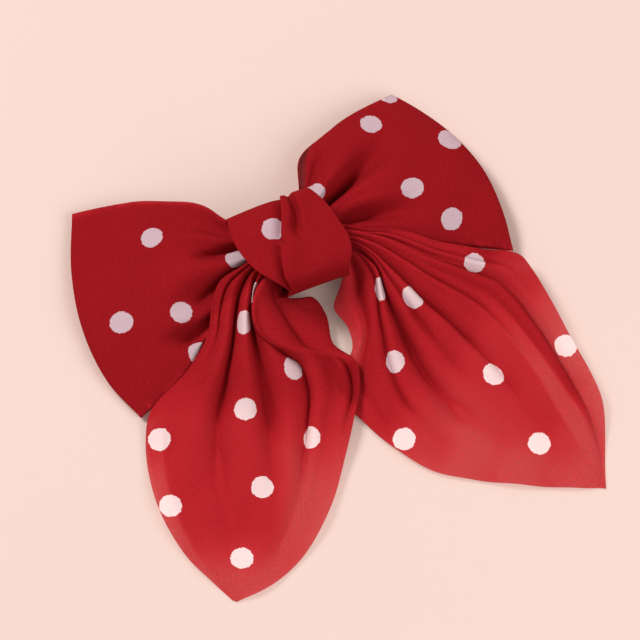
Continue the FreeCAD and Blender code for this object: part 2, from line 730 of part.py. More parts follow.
def main():
    doc = FreeCAD.newDocument("hair_bow")
    D.update(make_sheet(doc))
    bodies = [
        make_top_plate(doc),
        make_hinge_pin(doc),
        make_lever_arm(doc),
        make_tension_bar(doc),
        make_catch_base(doc),
        make_catch_leg(doc, "catch_leg_front", -1),
        make_catch_leg(doc, "catch_leg_rear", 1),
        make_catch_rivet(doc),
        make_loop_band(doc),
        make_tail_strip(doc),
        make_knot_band(doc),
        make_gather_thread(doc),
        make_knot_stitches(doc),
        make_end_stitches(doc, "hinge_end_stitches", -1),
        make_end_stitches(doc, "catch_end_stitches", 1),
    ]
    doc.recompute()
    check(doc, bodies)
    os.makedirs("parts", exist_ok=True)
    whole = FreeCAD.BoundBox()
    for body in bodies:
        body.Shape.exportStep(f"parts/{body.Label}.step")
        whole.add(body.Shape.BoundBox)
        box = body.Shape.BoundBox
        print(
            f"{body.Label:20s} volume {body.Shape.Volume:10.1f} solids {len(body.Shape.Solids)}"
            f"  x {box.XMin:7.1f} {box.XMax:7.1f}  y {box.YMin:7.1f} {box.YMax:7.1f}"
            f"  z {box.ZMin:6.2f} {box.ZMax:6.2f}"
        )
    print("whole", whole)


main()
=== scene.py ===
"""Looks of a dotted chiffon hair bow on a barrette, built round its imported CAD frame.

Each cloth piece starts as a flat grid, is gathered and folded by moving its points, and is then
laid out flat again for its printed dots.
Lengths in this file are millimetres in the clip frame, whose origin is the point on the table
under the middle of the clip, until a mesh is finished: then they become metres in the row frame.
"""

import math

import bmesh
import bpy
import numpy as np
from bpy.props import FloatProperty, FloatVectorProperty, PointerProperty
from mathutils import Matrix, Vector
from mathutils.bvhtree import BVHTree


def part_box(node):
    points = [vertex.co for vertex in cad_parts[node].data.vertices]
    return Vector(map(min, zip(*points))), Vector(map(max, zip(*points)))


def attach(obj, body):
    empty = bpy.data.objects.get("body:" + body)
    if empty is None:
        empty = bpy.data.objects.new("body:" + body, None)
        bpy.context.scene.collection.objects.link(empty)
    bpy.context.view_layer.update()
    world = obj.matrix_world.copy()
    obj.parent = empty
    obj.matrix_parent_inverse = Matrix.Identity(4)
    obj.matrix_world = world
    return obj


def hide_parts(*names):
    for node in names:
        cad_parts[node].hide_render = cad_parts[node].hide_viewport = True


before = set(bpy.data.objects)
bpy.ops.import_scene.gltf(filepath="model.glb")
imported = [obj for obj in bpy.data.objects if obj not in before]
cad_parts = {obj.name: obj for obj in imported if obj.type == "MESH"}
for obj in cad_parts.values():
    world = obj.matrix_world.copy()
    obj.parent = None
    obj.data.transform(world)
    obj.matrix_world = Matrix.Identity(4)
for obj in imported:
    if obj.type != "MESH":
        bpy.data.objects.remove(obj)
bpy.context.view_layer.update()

bl_info = {
    "name": "Chiffon hair bow",
    "version": (1, 0, 0),
    "blender": (4, 5, 0),
    "location": "View3D > Sidebar > Hair Bow",
    "description": "Makes the loops, tails and knot of a dotted chiffon bow on its barrette",
    "category": "Object",
}

MM = 0.001
BOW = "bow"  # the CAD body that carries the cloth
PLATE_LOW, PLATE_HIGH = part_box("top_plate")
CLIP_MIDDLE = Vector(((PLATE_LOW.x + PLATE_HIGH.x) / 2, (PLATE_LOW.y + PLATE_HIGH.y) / 2, 0))
PLATE_CREST = PLATE_HIGH.z / MM
PLATE_END = (PLATE_HIGH.x - PLATE_LOW.x) / 2 / MM
PLATE_SWEEP = 280.0  # twice the radius of the barrette's face


# ---------------------------------------------------------------- settings


def dye(name, description, default):
    """A setting for a colour."""
    return FloatVectorProperty(
        name=name, description=description, subtype="COLOR", size=3, default=default, min=0, max=1
    )


class BowClothSettings(bpy.types.PropertyGroup):
    """Sizes and colours of the cloth."""

    red: dye("Red", "Colour of the dyed cloth", (0.35, 0.008, 0.013))
    deep_red: dye("Deep red", "Colour between the crepe's raised threads", (0.24, 0.004, 0.006))
    dot_white: dye("Dot colour", "Colour of the printed dots", (0.63, 0.44, 0.48))
    # painted light: the lit colours below are brighter copies of the three above, used where a single
    # layer would let light come up through it; the three above are the cloth's own colours, also used as
    # the painted shade of cloth marked as backed
    painted_lit_red: dye("Lit red", "Colour of a single layer that light comes through", (0.64, 0.021, 0.030))
    painted_lit_deep_red: dye(
        "Lit deep red", "The same between the crepe's raised threads", (0.50, 0.013, 0.020)
    )
    painted_lit_white: dye("Lit dot colour", "Colour of a dot on a single layer", (1.0, 0.74, 0.71))
    dot_width: FloatProperty(
        name="Dot width", description="Diameter of a printed dot", unit="LENGTH",
        default=0.0092,
    )
    thickness: FloatProperty(
        name="Cloth thickness", description="Thickness of one layer of chiffon",
        unit="LENGTH", default=0.00025,
    )
    cover: FloatProperty(
        name="Cover", description="How much light one face of the cloth stops",
        subtype="FACTOR", default=0.66, min=0, max=1,
    )
    wrap_cover: FloatProperty(
        name="Wrap cover", description="The same for the knot's wrap, which is folded double",
        subtype="FACTOR", default=0.9, min=0, max=1,
    )
    grain: FloatProperty(
        name="Crepe grain", description="Size of the crepe's pebbled grain", unit="LENGTH",
        default=0.00055,
    )


class BowStageSettings(bpy.types.PropertyGroup):
    """Floor, light and camera."""

    floor: dye("Floor", "Colour of the floor", (0.80, 0.61, 0.54))
    camera_distance: FloatProperty(
        name="Camera distance", description="Camera to the middle of the view",
        unit="LENGTH", default=6.0,
    )
    camera_height: FloatProperty(
        name="Camera elevation", description="Angle of the view above the table",
        subtype="ANGLE", default=math.radians(70),
    )
    camera_turn: FloatProperty(
        name="Camera turn", description="Turn of the view about the vertical",
        subtype="ANGLE", default=math.radians(22),
    )
    view_width: FloatProperty(
        name="View width", description="Width of table that the view takes in",
        unit="LENGTH", default=0.2605,
    )


# ---------------------------------------------------------------- curves and patches

PATH_STEPS = 24  # straight runs that a path is measured by
DOWN = Vector((0, 0, -1))
ABOVE_ALL = 100.0  # a height over every piece
EASE_ROUNDS = 14  # how far out the lift of cloth over an edge is spread


def eased(part, span, first, first_slope, last, last_slope):
    """Places part of the way between two places, on a smooth curve with those slopes at its ends."""
    square, cube = part**2, part**3
    return (
        (2 * cube - 3 * square + 1) * first
        + (cube - 2 * square + part) * span * first_slope
        + (3 * square - 2 * cube) * last
        + (cube - square) * span * last_slope
    )


class Route:
    """A smooth curve through points, read at 0 to 1 by its length."""

    def __init__(self, *points):
        self.points = np.array(points, float)
        steps = np.linalg.norm(np.diff(self.points, axis=0), axis=1)
        self.marks = np.concatenate([[0], np.cumsum(steps)]) / steps.sum()
        self.slopes = np.gradient(self.points, self.marks, axis=0)

    def __call__(self, along):
        along = np.clip(np.asarray(along, float), 0, 1)
        place = np.clip(np.searchsorted(self.marks, along, "right") - 1, 0, len(self.marks) - 2)
        span = (self.marks[place + 1] - self.marks[place])[..., None]
        part = (along - self.marks[place])[..., None] / span
        return eased(
            part, span, self.points[place], self.slopes[place], self.points[place + 1],
            self.slopes[place + 1],
        )


def patch(first, last, start, end, along, across):
    """Points of the surface between four curves: first and last run along, start and end across."""
    a = along[..., None]
    c = across[..., None]
    sides = (1 - c) * first(along) + c * last(along) + (1 - a) * start(across) + a * end(across)
    corners = (
        (1 - a) * (1 - c) * start(0.0) + (1 - a) * c * start(1.0)
        + a * (1 - c) * end(0.0) + a * c * end(1.0)
    )
    return sides - corners


def smooth(low, high, value):
    """0 up to low, 1 from high on, and an eased rise between them."""
    part = np.clip((value - low) / (high - low), 0, 1)
    return part * part * (3 - 2 * part)


def from_path(points, path):
    """Distance of each point from a path seen from above, how far along it, and on which side."""
    knots = path(np.linspace(0, 1, PATH_STEPS + 1))[:, :2]
    near = np.full(points.shape[:-1], np.inf)
    share = np.zeros(points.shape[:-1])
    side = np.zeros(points.shape[:-1])
    for step in range(PATH_STEPS):
        run = knots[step + 1] - knots[step]
        offset = points[..., :2] - knots[step]
        part = np.clip(offset @ run / (run @ run), 0, 1)
        reach = np.linalg.norm(offset - part[..., None] * run, axis=-1)
        closer = reach < near
        near = np.where(closer, reach, near)
        share = np.where(closer, (step + part) / PATH_STEPS, share)
        turn = np.sign(run[0] * offset[..., 1] - run[1] * offset[..., 0])
        side = np.where(closer, turn, side)
    return near, share, side


def dent(points, path, width, depth, fade=0.5):
    """How far the cloth dips along a path, deepest at the path's start."""
    near, share, _ = from_path(points, path)
    spread = width * (0.6 + 0.8 * share)
    return depth * (1 - smooth(1 - fade, 1.0, share)) * np.exp(-((near / spread) ** 2))


def pleats(along, across, plan_width, plan):
    """How far the cloth dips in its pleats, and how far it slides across to lap over itself.

    A pleat is its place across at the neck and at the far end, its depth, how far along it reaches,
    how wide it is and its lean: 0 for a plain valley, 1 where the cloth before it laps over the
    cloth after it, and -1 for the other way round.
    """
    dip = np.zeros(along.shape)
    slide = np.zeros(along.shape)
    for near_place, far_place, depth, reach, width, lean in plan:
        place = near_place + (far_place - near_place) * along
        spread = width * (0.4 + 1.8 * along) / plan_width
        strength = 1 - smooth(0.35 * reach, 1.25 * reach, along)
        u = (across - place) / spread
        dip += depth * strength * np.exp(-(u**2)) * (1 - 0.6 * abs(lean))
        dip += depth * strength * lean * 0.9 * u * np.exp(-(u**2) / 1.6)
        slide -= 2.0 * abs(lean) * strength**0.7 * spread * u * np.exp(-(u**2))
    return dip, slide


def ripple(points, tallest, seed):
    """Slow uneven waves, so that no cloth lies dead flat."""
    x, y = points[..., 0], points[..., 1]
    return tallest * (
        0.5 * np.sin(x / 7.1 + y / 13.0 + seed) + 0.3 * np.sin(x / 4.3 - y / 6.1 + 2.3 * seed)
        + 0.2 * np.sin(-x / 9.7 + y / 3.7 + 4.1 * seed)
    )


def soften(field, rounds):
    """Even out a grid of values with their neighbours', so many times over."""
    for _ in range(rounds):
        edge = np.pad(field, 1, mode="edge")
        field = (
            edge[:-2, 1:-1] + edge[2:, 1:-1] + edge[1:-1, :-2] + edge[1:-1, 2:] + 2 * field
        ) / 6
    return field


def rest_on(points, surface, gap):
    """Lift cloth that lies under, or nearer than gap to, the surface below it, and ease it off."""
    need = np.zeros(points.shape[:-1])
    for place in np.ndindex(need.shape):
        x, y, z = points[place]
        hit = surface.ray_cast(Vector((x, y, ABOVE_ALL)), DOWN)[0]
        if hit is not None:
            need[place] = max(hit.z + gap - z, 0)
    need = soften(need, 2)
    lift = need
    for _ in range(EASE_ROUNDS):
        lift = np.maximum(soften(lift, 3), need)
    points[..., 2] += soften(lift, 2)


# ---------------------------------------------------------------- meshes

SUBDIVISIONS = 1  # of every cloth grid


def new_piece(name, work):
    """A smooth object of the mesh that was worked on."""
    mesh = bpy.data.meshes.new(name)
    work.to_mesh(mesh)
    work.free()
    for face in mesh.polygons:
        face.use_smooth = True
    piece = bpy.data.objects.new(name, mesh)
    bpy.context.scene.collection.objects.link(piece)
    return piece


def cloth_grid(name, counts, shape):
    """A flat grid of cloth whose points shape(across, along) puts in place, both 0 to 1."""
    across_count, along_count = counts
    work = bmesh.new()
    bmesh.ops.create_grid(
        work, x_segments=across_count, y_segments=along_count, size=0.5, calc_uvs=False
    )
    flat = np.array([point.co[:2] for point in work.verts]) + 0.5
    rows = (along_count + 1, across_count + 1)
    placed = shape(flat[:, 0].reshape(rows), flat[:, 1].reshape(rows)).reshape(-1, 3)
    if not np.isfinite(placed).all():
        raise RuntimeError(f"{name} has points with no place")
    for point, spot in zip(work.verts, placed):
        point.co = spot
    bmesh.ops.recalc_face_normals(work, faces=work.faces)
    piece = new_piece(name, work)
    piece["grid"] = counts
    return piece


def points_of(piece):
    """The piece's points, as rows of x, y and z."""
    flat = np.zeros(len(piece.data.vertices) * 3, np.float32)
    piece.data.vertices.foreach_get("co", flat)
    return flat.reshape(-1, 3).astype(float)


def set_points(piece, points):
    """Move the piece's points to these rows of x, y and z."""
    piece.data.vertices.foreach_set("co", points.astype(np.float32).ravel())
    piece.data.update()


def corner_points(mesh):
    """The number of the point at each corner of each face."""
    owner = np.zeros(len(mesh.loops), np.int32)
    mesh.loops.foreach_get("vertex_index", owner)
    return owner


def flat_points(piece):
    """Each point's place on the flat cloth."""
    layer = piece.data.uv_layers["cloth"].data
    spots = np.zeros(len(layer) * 2, np.float32)
    layer.foreach_get("uv", spots)
    by_point = np.zeros((len(piece.data.vertices), 2))
    by_point[corner_points(piece.data)] = spots.reshape(-1, 2)
    return by_point


def lay_flat(piece, origin, ahead):
    """Unfold the cloth into its UV map, in metres, with 0, 0 at point origin and +V towards ahead."""
    piece.data.uv_layers.new(name="cloth")
    bpy.ops.object.select_all(action="DESELECT")
    piece.select_set(True)
    bpy.context.view_layer.objects.active = piece
    bpy.ops.object.mode_set(mode="EDIT")
    bpy.ops.mesh.select_all(action="SELECT")
    bpy.ops.uv.unwrap(method="MINIMUM_STRETCH", margin=0.0)
    bpy.ops.object.mode_set(mode="OBJECT")
    mesh = piece.data
    by_point = flat_points(piece)
    points = points_of(piece)
    edges = np.zeros(len(mesh.edges) * 2, np.int32)
    mesh.edges.foreach_get("vertices", edges)
    edges = edges.reshape(-1, 2)
    real = np.linalg.norm(points[edges[:, 0]] - points[edges[:, 1]], axis=1)
    drawn = np.linalg.norm(by_point[edges[:, 0]] - by_point[edges[:, 1]], axis=1)
    by_point *= real.sum() / drawn.sum() * MM
    by_point -= by_point[origin]
    up = by_point[ahead] / np.linalg.norm(by_point[ahead])
    by_point = np.stack([by_point @ [up[1], -up[0]], by_point @ up], axis=1)
    run = by_point[list(mesh.polygons[0].vertices)]
    turned = np.cross(run[1] - run[0], run[2] - run[1])
    if turned * mesh.polygons[0].normal.z < 0:
        by_point[:, 0] *= -1
    flat = by_point[corner_points(mesh)].astype(np.float32)
    mesh.uv_layers["cloth"].data.foreach_set("uv", flat.ravel())


def surface_of(*pieces):
    """A tree of the pieces' faces, to be cast at from above."""
    spots, faces = [], []
    for piece in pieces:
        base = len(spots)
        spots += [tuple(spot) for spot in points_of(piece)]
        faces += [[base + index for index in face.vertices] for face in piece.data.polygons]
    return BVHTree.FromPolygons(spots, faces)


def finish_cloth(piece):
    """Take the piece to the row frame, in metres, and give it its layer's thickness."""
    set_points(piece, points_of(piece) * MM + np.array(CLIP_MIDDLE))
    finer = piece.modifiers.new("Finer", "SUBSURF")
    finer.levels = SUBDIVISIONS
    finer.render_levels = SUBDIVISIONS
    layer = piece.modifiers.new("Layer", "SOLIDIFY")
    layer.thickness = bpy.context.scene.bow_cloth.thickness
    layer.offset = 0.0
    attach(piece, BOW)


# ---------------------------------------------------------------- materials

# how much of the light is stopped, over or under the cloth's own cover
GRAIN_COVER = 0.08  # more at the crepe's raised threads, and less between them
DOT_COVER = 0.2  # more by a dot's paint
BACKED_COVER = 0.35  # more where there is cloth close under
SHADE_LOST = 0.7  # share of a single layer's shade that the light coming through it fills
BACKED_SHADE = 0.45  # how much less of it that is where there is cloth close under
FADED = 0.88  # brightness of a dot between the crepe's raised threads
DOT_RAGGED = 0.0011  # how far a dot's rim wanders, in metres
DOT_RIM = 0.0001  # how softly it ends, in metres
TARNISH = 0.82  # brightness of the steel's dullest places


def new_group(name, inputs, outputs):
    """A node group with its sockets, and its input and output nodes."""
    group = bpy.data.node_groups.new(name, "ShaderNodeTree")
    for label, kind, default in inputs:
        socket = group.interface.new_socket(label, in_out="INPUT", socket_type=kind)
        if default is not None:
            socket.default_value = default
    for label, kind in outputs:
        group.interface.new_socket(label, in_out="OUTPUT", socket_type=kind)
    entry = group.nodes.new("NodeGroupInput")
    leave = group.nodes.new("NodeGroupOutput")
    return group, entry, leave


def node(tree, kind, links=None, **settings):
    """A node with its settings, whose inputs named or numbered in links are linked or given."""
    made = tree.nodes.new(kind)
    for field, value in settings.items():
        setattr(made, field, value)
    for socket, value in (links or {}).items():
        if isinstance(value, bpy.types.NodeSocket):
            tree.links.new(value, made.inputs[socket])
        else:
            made.inputs[socket].default_value = value
    return made


def worked(tree, operation, *values, clamp=False):
    """The result of a sum whose values are numbers or sockets."""
    made = node(
        tree, "ShaderNodeMath", dict(enumerate(values)), operation=operation, use_clamp=clamp
    )
    return made.outputs[0]


def noise(tree, vector, scale, detail=2.0, roughness=0.5):
    """Uneven patches between 0 and 1."""
    links = {"Vector": vector, "Scale": scale, "Detail": detail, "Roughness": roughness}
    return node(tree, "ShaderNodeTexNoise", links)


def emboss(tree, shader, height, strength, distance):
    """Make the surface look raised by a height, over a distance in metres."""
    links = {"Height": height, "Strength": strength, "Distance": distance}
    bump = node(tree, "ShaderNodeBump", links)
    tree.links.new(bump.outputs[0], shader.inputs["Normal"])


def crepe_group():
    """Pebbled crepe: how high the cloth is, from coarse and fine grain, and where threads stand up."""
    group, entry, leave = new_group(
        "crepe_grain",
        [("Vector", "NodeSocketVector", None), ("Size", "NodeSocketFloat", 0.0006)],
        [("Height", "NodeSocketFloat"), ("Thread", "NodeSocketFloat")],
    )
    scale = worked(group, "DIVIDE", 1.0, entry.outputs["Size"])
    stretched = node(
        group, "ShaderNodeMapping", {"Vector": entry.outputs["Vector"], "Scale": (1.0, 0.62, 1.0)}
    )
    pebble = noise(group, stretched.outputs[0], scale, 2.0, 0.6)
    finer = worked(group, "MULTIPLY", scale, 2.3)
    fine = noise(group, entry.outputs["Vector"], finer, 1.0)
    both = worked(group, "ADD", pebble.outputs["Fac"], fine.outputs["Fac"])
    height = worked(group, "MULTIPLY", both, 0.5)
    thread = node(
        group, "ShaderNodeMapRange", {"Value": height, "From Min": 0.38, "From Max": 0.62}
    )
    group.links.new(height, leave.inputs["Height"])
    group.links.new(thread.outputs[0], leave.inputs["Thread"])
    return group


def dot_group(name, centres):
    """Mask of round printed dots at the centres, in metres on the cloth, with slightly ragged rims."""
    group, entry, leave = new_group(
        name,
        [("Vector", "NodeSocketVector", None), ("Radius", "NodeSocketFloat", 0.005)],
        [("Mask", "NodeSocketFloat")],
    )
    ragged = noise(group, entry.outputs["Vector"], 700.0, 1.0)
    shift = node(
        group, "ShaderNodeVectorMath", {0: ragged.outputs["Color"], 1: (0.5, 0.5, 0.5)},
        operation="SUBTRACT",
    )
    small = node(
        group, "ShaderNodeVectorMath", {0: shift.outputs[0], "Scale": DOT_RAGGED}, operation="SCALE"
    )
    spot = node(
        group, "ShaderNodeVectorMath", {0: entry.outputs["Vector"], 1: small.outputs[0]},
        operation="ADD",
    )
    nearest = None
    for u, v in centres:
        gap = node(
            group, "ShaderNodeVectorMath", {0: spot.outputs[0], 1: (u, v, 0.0)},
            operation="DISTANCE",
        )
        found = gap.outputs["Value"]
        if nearest is not None:
            found = worked(group, "MINIMUM", nearest, found)
        nearest = found
    inside = worked(group, "SUBTRACT", entry.outputs["Radius"], nearest)
    rim = node(
        group, "ShaderNodeMapRange", {"Value": inside, "From Min": -DOT_RIM, "From Max": DOT_RIM}
    )
    group.links.new(rim.outputs[0], leave.inputs["Mask"])
    return group


def new_material(name):
    """A material with its node tree and its shader."""
    material = bpy.data.materials.new(name)
    material.use_nodes = True
    tree = material.node_tree
    shader = tree.nodes["Principled BSDF"]
    return material, tree, shader


def mixed(tree, factor, first, second):
    """The colour between two colours, each a colour or a socket."""
    made = tree.nodes.new("ShaderNodeMix")
    made.data_type = "RGBA"
    tree.links.new(factor, made.inputs[0])
    for socket, colour in ((made.inputs[6], first), (made.inputs[7], second)):
        if isinstance(colour, bpy.types.NodeSocket):
            tree.links.new(colour, socket)
        else:
            socket.default_value = (*colour, 1)
    return made.outputs[2]


def chiffon(name, centres, cover):
    """Sheer red crepe chiffon with its printed dots, with painted light and shade: brighter lit colours
    where light would come up through a single layer, and the plain colours as painted shade where cloth is
    marked backed.
    """
    cloth = bpy.context.scene.bow_cloth
    material, tree, shader = new_material(name)
    spot = node(tree, "ShaderNodeUVMap", uv_map="cloth")
    backed_painted_shade = node(tree, "ShaderNodeAttribute", attribute_name="backed_painted_shade").outputs["Fac"]
    grain = node(tree, "ShaderNodeGroup")
    grain.node_tree = bpy.data.node_groups.get("crepe_grain") or crepe_group()
    tree.links.new(spot.outputs[0], grain.inputs["Vector"])
    grain.inputs["Size"].default_value = cloth.grain
    dots = node(tree, "ShaderNodeGroup")
    dots.node_tree = dot_group(f"{name}_dots", centres)
    tree.links.new(spot.outputs[0], dots.inputs["Vector"])
    dots.inputs["Radius"].default_value = cloth.dot_width / 2
    thread = grain.outputs["Thread"]
    shaded = mixed(tree, thread, cloth.deep_red, cloth.red)
    lit = mixed(tree, thread, cloth.painted_lit_deep_red, cloth.painted_lit_red)
    # painted shade: the squared backed mark picks the plain shaded colours over the painted lit ones, for
    # the red and for the dots
    shade = worked(tree, "POWER", backed_painted_shade, 2.0)
    red = mixed(tree, shade, lit, shaded)
    speck = mixed(tree, thread, [part * FADED for part in cloth.dot_white], cloth.dot_white)
    white = mixed(tree, shade, cloth.painted_lit_white, speck)
    colour = mixed(tree, dots.outputs["Mask"], red, white)
    tree.links.new(colour, shader.inputs["Base Color"])
    weave = node(
        tree, "ShaderNodeMapRange",
        {"Value": thread, "To Min": cover - GRAIN_COVER, "To Max": cover + GRAIN_COVER},
    )
    stopped = worked(
        tree, "MULTIPLY_ADD", dots.outputs["Mask"], DOT_COVER, weave.outputs[0], clamp=True
    )
    doubled = worked(tree, "MULTIPLY_ADD", backed_painted_shade, BACKED_COVER, stopped, clamp=True)
    light = node(tree, "ShaderNodeLightPath")
    thinned = worked(tree, "MULTIPLY_ADD", backed_painted_shade, BACKED_SHADE, -SHADE_LOST)
    shade_left = worked(tree, "MULTIPLY_ADD", light.outputs["Is Shadow Ray"], thinned, 1.0)
    tree.links.new(worked(tree, "MULTIPLY", doubled, shade_left), shader.inputs["Alpha"])
    emboss(tree, shader, grain.outputs["Height"], 0.8, 0.0005)
    shader.inputs["Roughness"].default_value = 0.85
    shader.inputs["Specular IOR Level"].default_value = 0.06
    return material


def steel(name, colour, roughness, length_wise=True):
    """Plated sheet steel with fine rolling lines and a little tarnish."""
    material, tree, shader = new_material(name)
    spot = node(tree, "ShaderNodeTexCoord")
    spread = (40.0, 2500.0, 2500.0) if length_wise else (900.0, 900.0, 900.0)
    lines = node(tree, "ShaderNodeMapping", {"Vector": spot.outputs["Object"], "Scale": spread})
    brush = noise(tree, lines.outputs[0], 1.0, 3.0)
    stain = noise(tree, spot.outputs["Object"], 180.0, 4.0)
    rough = node(
        tree, "ShaderNodeMapRange",
        {"Value": brush.outputs["Fac"], "From Min": 0.3, "From Max": 0.7,
         "To Min": roughness - 0.06, "To Max": roughness + 0.1},
    )
    tint = mixed(tree, stain.outputs["Fac"], [part * TARNISH for part in colour], colour)
    tree.links.new(tint, shader.inputs["Base Color"])
    tree.links.new(rough.outputs[0], shader.inputs["Roughness"])
    emboss(tree, shader, brush.outputs["Fac"], 0.15, 0.0001)
    shader.inputs["Metallic"].default_value = 1.0
    return material


def thread_material(shaded, bright):
    """Matt sewing thread, in two reds."""
    material, tree, shader = new_material("sewing_thread")
    spot = node(tree, "ShaderNodeTexCoord")
    twist = noise(tree, spot.outputs["Object"], 3500.0)
    tint = mixed(tree, twist.outputs["Fac"], shaded, bright)
    tree.links.new(tint, shader.inputs["Base Color"])
    emboss(tree, shader, twist.outputs["Fac"], 0.6, 0.0002)
    shader.inputs["Roughness"].default_value = 0.8
    return material


# ---------------------------------------------------------------- loops

LOOP_GRID = (70, 160)  # faces across and along each loop
EDGE_GAP = 1.8  # half the gap between a loop's two layers at its open edges
NECK_GAP = 2.6  # how much wider that is at the knot
BACK_CLEAR = 0.7  # from the barrette's face to a loop's back layer
FRONT_CLEAR = 2.3  # from the barrette's face to its front layer
TABLE_CLEAR = 0.6
BESIDE_CLIP = (5.5, 16.0)  # distances across the clip between which the cloth may come down
BEYOND_CLIP = 14.0  # how far past the clip's ends it is all the way down


def loop_shape(upper, lower, outer, swell, plan, folds, seed, drawn_in=0.0):
    """The shape of one loop: its front runs out from the knot, turns at the outer fold, comes back.

    Where the front is drawn in by the knot, the back layer shows beyond the loop's upper edge.
    In shape, out is 0 at the knot and 1 at the outer fold, and face is 1 for the front layer at the
    knot, 0 at the fold and -1 for the back layer at the knot.
    """
    neck = Route(upper.points[0], (upper.points[0] + lower.points[0]) / 2, lower.points[0])

    def shape(across, along):
        turn = along * 2
        out = np.sin(turn * math.pi / 2)
        face = np.cos(turn * math.pi / 2)
        front = smooth(-0.15, 0.35, face)
        points = patch(upper, lower, neck, outer, out, across)
        plan_width = np.linalg.norm(upper(out) - lower(out), axis=-1)
        middle = np.sin(math.pi * across) ** 0.6
        swollen = (swell - EDGE_GAP) * middle * smooth(0.0, 0.4, out)
        rise = EDGE_GAP + swollen + NECK_GAP * (1 - smooth(0, 0.35, out))
        points[..., 2] += rise * face
        beside = smooth(0.05, 0.25, out) * (1 - smooth(0.4, 0.75, out)) * (1 - across) ** 2
        points[..., 0] += drawn_in * beside * smooth(0.1, 0.6, face)
        dip, slide = pleats(out, across, plan_width, plan)
        dip *= 0.45 + 0.55 * front
        for path, width, depth in folds:
            dip += dent(points, path, width, depth) * front
        points[..., 2] -= dip * np.where(face > 0, 1.0, -0.4)
        points[..., 2] += ripple(points, 0.9, seed) * smooth(0.1, 0.4, out)
        return points + lift_off_clip(points, BACK_CLEAR + (FRONT_CLEAR - BACK_CLEAR) * front)

    return shape


def lift_off_clip(points, gap):
    """How far the cloth must rise to clear the barrette's face and the table."""
    arc = PLATE_CREST - points[..., 0] ** 2 / PLATE_SWEEP
    beside = smooth(*BESIDE_CLIP, np.abs(points[..., 1]))
    beyond = smooth(PLATE_END, PLATE_END + BEYOND_CLIP, np.abs(points[..., 0]))
    low = np.maximum((arc + gap) * (1 - beside) * (1 - beyond), TABLE_CLEAR)
    lift = np.zeros(points.shape)
    lift[..., 2] = np.maximum(low - points[..., 2], 0)
    return lift


# upper and lower are a loop's open edges, from the knot out, and outer is its fold; swell is how far
# its layers stand apart; plan holds its pleats, and folds its sharper dents as path, width and depth
LEFT_LOOP = dict(
    upper=Route((-6, 13, 18), (-18, 22, 16.5), (-24, 33, 13), (-43, 45.5, 8), (-74, 54, 4)),
    lower=Route((-6, -9, 17), (-22, -10, 15), (-41, -15.5, 9), (-56, -28, 5.5), (-80.5, -38, 3)),
    outer=Route((-74, 54, 4), (-83.5, 31, 4.5), (-88.5, 8, 5), (-87.5, -18.5, 4), (-80.5, -38, 3)),
    swell=8.5,
    plan=[
        (0.12, 0.05, 1.8, 0.7, 3.0, 0.5),
        (0.24, 0.20, 1.8, 0.6, 2.4, 0.4),
        (0.38, 0.36, 1.4, 0.7, 2.6, 0),
        (0.50, 0.54, 1.8, 0.5, 2.4, -0.4),
        (0.70, 0.72, 1.8, 0.6, 2.6, -0.5),
        (0.86, 0.88, 1.8, 0.6, 2.6, 0),
    ],
    folds=[
        (Route((-17, 10.5), (-26, 11.5), (-40, 16)), 1.5, 4.5),
        (Route((-17, 9), (-28, 12), (-44, 21)), 4.0, 2.5),
        (Route((-17, 2), (-30, -1.5), (-46, -3.5)), 1.7, 6.0),
        (Route((-17, 0), (-34, -2.5), (-56, -3.5)), 4.6, 5.0),
        (Route((-28, -9), (-46, -14.5), (-66, -13)), 2.8, 8.0),
        (Route((-20, 18), (-34, 30), (-52, 38)), 4.0, 2.5),
    ],
    seed=0.4,
)
RIGHT_LOOP = dict(
    upper=Route((6, 13, 18), (13, 23, 17.5), (20, 39, 14), (36, 46, 12), (66, 52.5, 7)),
    lower=Route((6, -4, 17), (22, -3, 15), (45, -8.5, 11), (61, -16, 8), (86.5, -28.5, 6)),
    outer=Route((66, 52.5, 7), (79, 33, 8), (88, 8, 8), (88.5, -12.5, 7.5), (86.5, -28.5, 6)),
    swell=9.0,
    plan=[
        (0.13, 0.10, 1.8, 0.5, 2.6, 0.4),
        (0.25, 0.20, 1.6, 0.5, 2.2, 0),
        (0.42, 0.42, 1.8, 0.55, 2.2, -0.4),
        (0.62, 0.60, 1.8, 0.6, 2.4, 0),
        (0.78, 0.80, 2.0, 0.6, 2.4, 0.4),
        (0.90, 0.93, 1.6, 0.5, 2.2, 0),
    ],
    folds=[
        (Route((17, 13), (31, 18.5), (41, 24.5), (62, 31)), 4.4, 7.0),
        (Route((17, 13), (31, 18.5), (44, 25)), 1.6, 5.0),
        (Route((19, 4.5), (30, 5.5), (41, 3.5), (64, 1)), 4.0, 5.5),
        (Route((19, 4.5), (30, 5.5), (44, 3.5)), 1.5, 4.5),
        (Route((16, 22), (26, 32), (38, 38)), 3.0, 2.5),
    ],
    seed=2.0,
    drawn_in=3.5,
)


class HAIRBOW_OT_loops(bpy.types.Operator):
    """Make the two loops of one folded band of chiffon"""

    bl_idname = "hairbow.loops"
    bl_label = "Loops"

    def execute(self, context):
        for name, plan in (("left_loop", LEFT_LOOP), ("right_loop", RIGHT_LOOP)):
            cloth_grid(name, LOOP_GRID, loop_shape(**plan))
        return {"FINISHED"}


# ---------------------------------------------------------------- tails

TAIL_GRID = (125, 95)  # faces across and along each tail
CLOTH_CLEAR = 0.7  # from a tail to the cloth that it lies on
FLOOR_CLEAR = 0.5


def across_guides(guides, along, across):
    """Points of a smooth surface through lines that run along it, each at its place across."""
    marks = np.array([mark for mark, line in guides])
    lines = np.stack([line(along) for mark, line in guides])
    slopes = np.gradient(lines, marks, axis=0)
    place = np.clip(np.searchsorted(marks, across, "right") - 1, 0, len(marks) - 2)
    rows, columns = np.indices(place.shape)
    span = (marks[place + 1] - marks[place])[..., None]
    part = (across - marks[place])[..., None] / span
    return eased(
        part, span, lines[place, rows, columns], slopes[place, rows, columns],
        lines[place + 1, rows, columns], slopes[place + 1, rows, columns],
    )


